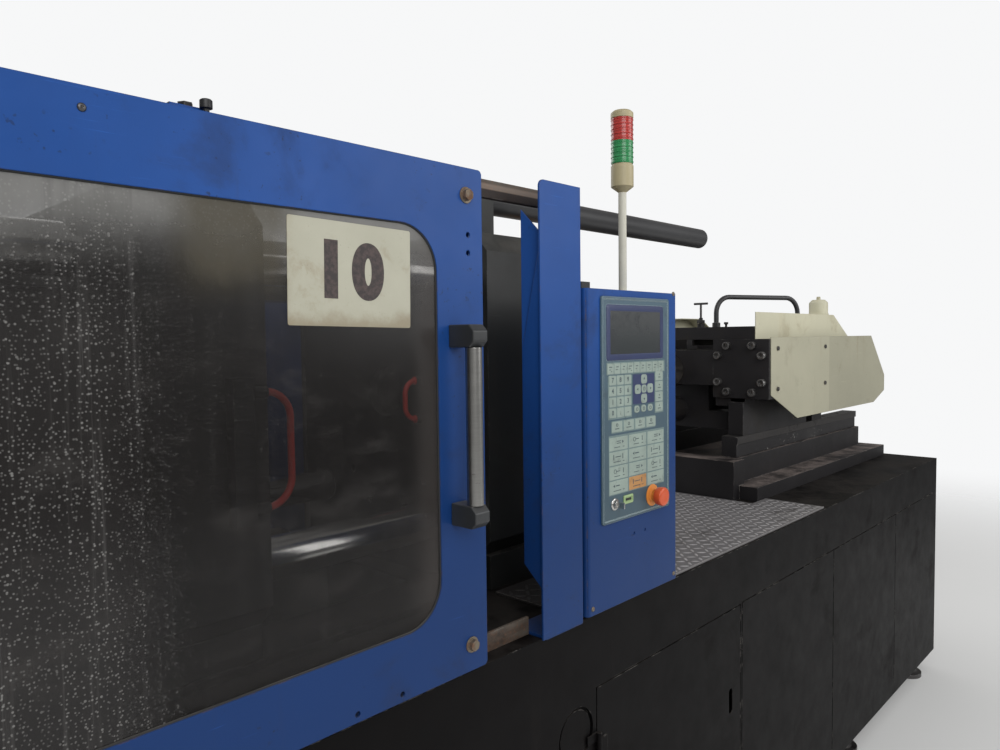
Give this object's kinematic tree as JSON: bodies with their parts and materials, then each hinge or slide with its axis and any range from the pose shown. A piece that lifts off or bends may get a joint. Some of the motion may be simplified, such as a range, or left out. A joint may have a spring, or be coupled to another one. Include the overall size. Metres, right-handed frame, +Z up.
{
  "type": "injection moulding machine",
  "caption": "Horizontal plastic injection moulding machine with sliding gates, tie-bar hydraulic clamp, keypad console, signal tower and a reciprocating screw unit on rails",
  "frame": {"origin": "centre of the footprint, on the floor", "axes": "+X along the machine towards the injection unit, -Y the operator's side, +Z up"},
  "size_m": [5.24, 1.336, 2.008],
  "materials": {
    "base_paint": "satin dark grey enamel, worn and oily",
    "tread_steel": "worn dark chequered plate",
    "blue_paint": "medium blue enamel with stains",
    "platen_paint": "near-black enamel",
    "black_steel": "blackened steel",
    "chrome": "hard chrome",
    "steel": "bare steel",
    "heater": "dulled sheet steel",
    "rust": "rusty rolled steel",
    "beige_paint": "beige enamel",
    "window": "smoky dirty plastic pane",
    "grip": "brushed tube",
    "black_plastic": "black moulded plastic",
    "zinc": "stained plated steel",
    "paper": "laminated paper",
    "keypad": "grey-blue membrane foil with pale keys",
    "screen": "dark display",
    "lens_green": "green lens",
    "lens_red": "red lens",
    "hose": "red hose with brass ends",
    "pump_paint": "grey-blue enamel",
    "cabinet_grey": "light grey enamel",
    "guard_paint": "orange enamel",
    "estop": "red moulded plastic",
    "pawl": "plated steel"
  },
  "bodies": {
    "machine": {"machine_base": "base_paint", "levelling_feet": "base_paint", "tread_plate": "tread_steel", "fixed_platen": "platen_paint", "tail_platen": "platen_paint", "tie_bars": "chrome", "tie_bar_nuts": "black_steel", "main_cylinder": "platen_paint", "gate_posts": "blue_paint", "tail_cover": "blue_paint", "gate_rails": "rust", "console_box": "blue_paint", "keypad_panel": "keypad", "display_screen": "screen", "signal_pole": "beige_paint", "lens_green": "lens_green", "lens_red": "lens_red", "signal_cap": "beige_paint", "safety_bar_sleeve": "black_steel", "injection_base": "base_paint", "injection_rails": "base_paint", "seat_rod": "chrome", "pump_set": "pump_paint", "control_cabinet": "cabinet_grey", "fixed_hose": "hose"},
    "front_gate": {"front_gate_frame": "blue_paint", "front_gate_window": "window", "front_gate_grip": "grip", "front_gate_grip_blocks": "black_plastic", "front_gate_bolts": "zinc", "notice_card": "paper"},
    "rear_gate": {"rear_gate_frame": "blue_paint", "rear_gate_window": "window", "rear_gate_handle": "black_plastic"},
    "moving_unit": {"moving_platen": "platen_paint", "clamp_ram": "chrome", "ejector_housing": "platen_paint", "safety_bar": "chrome", "platen_hose": "hose"},
    "ejector": {"ejector_plate": "black_steel"},
    "carriage": {"carriage_frame": "platen_paint", "barrel": "steel", "heater_bands": "heater", "nozzle": "steel", "injection_cylinders": "platen_paint", "cylinder_head_bolts": "black_steel", "hopper_plate": "platen_paint", "side_covers": "beige_paint", "hood": "beige_paint", "bent_pipe": "black_steel"},
    "drive": {"crosshead": "black_steel", "hydraulic_motor": "black_steel"},
    "screw_body": {"screw": "steel"},
    "purge_guard_body": {"purge_guard": "guard_paint"},
    "estop_body": {"estop_button": "estop"},
    "key_body": {"key_switch": "steel"},
    "valve_body": {"valve_handle": "black_steel"},
    "pawl_body": {"safety_pawl": "pawl"},
    "service_door_body": {"service_door": "base_paint"},
    "cabinet_door_body": {"cabinet_door": "base_paint"}
  },
  "joints": [
    {"name": "front_gate_slide", "type": "slide", "parent": "machine", "child": "front_gate", "axis": [1, 0, 0], "range_m": [-1, 0.14]},
    {"name": "rear_gate_slide", "type": "slide", "parent": "machine", "child": "rear_gate", "axis": [1, 0, 0], "range_m": [-1.14, 0]},
    {"name": "clamp_slide", "type": "slide", "parent": "machine", "child": "moving_unit", "axis": [1, 0, 0], "range_m": [-0.42, 0.33]},
    {"name": "ejector_slide", "type": "slide", "parent": "moving_unit", "child": "ejector", "axis": [1, 0, 0], "range_m": [0, 0.1]},
    {"name": "carriage_slide", "type": "slide", "parent": "machine", "child": "carriage", "axis": [1, 0, 0], "range_m": [-0.08, 0.2]},
    {"name": "injection_slide", "type": "slide", "parent": "carriage", "child": "drive", "axis": [1, 0, 0], "range_m": [0, 0.2]},
    {"name": "screw_spin", "type": "hinge", "parent": "drive", "child": "screw_body", "pos_m": [1.5, 0, 1.38], "axis": [1, 0, 0], "continuous": true},
    {"name": "purge_guard_lift", "type": "hinge", "parent": "machine", "child": "purge_guard_body", "pos_m": [0.45, 0.197, 1.56], "axis": [-1, 0, 0], "range_deg": [0, 60]},
    {"name": "estop_press", "type": "slide", "parent": "machine", "child": "estop_body", "axis": [0, 1, 0], "range_m": [0, 0.006]},
    {"name": "key_turn", "type": "hinge", "parent": "machine", "child": "key_body", "pos_m": [0.11, -0.62, 1.168], "axis": [0, -1, 0], "range_deg": [0, 90]},
    {"name": "valve_turn", "type": "hinge", "parent": "carriage", "child": "valve_body", "pos_m": [1.39, -0.11, 1.6], "axis": [0, 0, 1], "range_deg": [0, 90]},
    {"name": "pawl_lift", "type": "hinge", "parent": "machine", "child": "pawl_body", "pos_m": [-0.02, -0.24, 1.869], "axis": [0, 1, 0], "range_deg": [0, 30]},
    {"name": "service_door_swing", "type": "hinge", "parent": "machine", "child": "service_door_body", "pos_m": [0.0665, -0.606, 0.465], "axis": [0, 0, 1], "range_deg": [-110, 0]},
    {"name": "cabinet_door_swing", "type": "hinge", "parent": "machine", "child": "cabinet_door_body", "pos_m": [1.3385, 0.606, 0.465], "axis": [0, 0, 1], "range_deg": [-110, 0]}
  ]
}
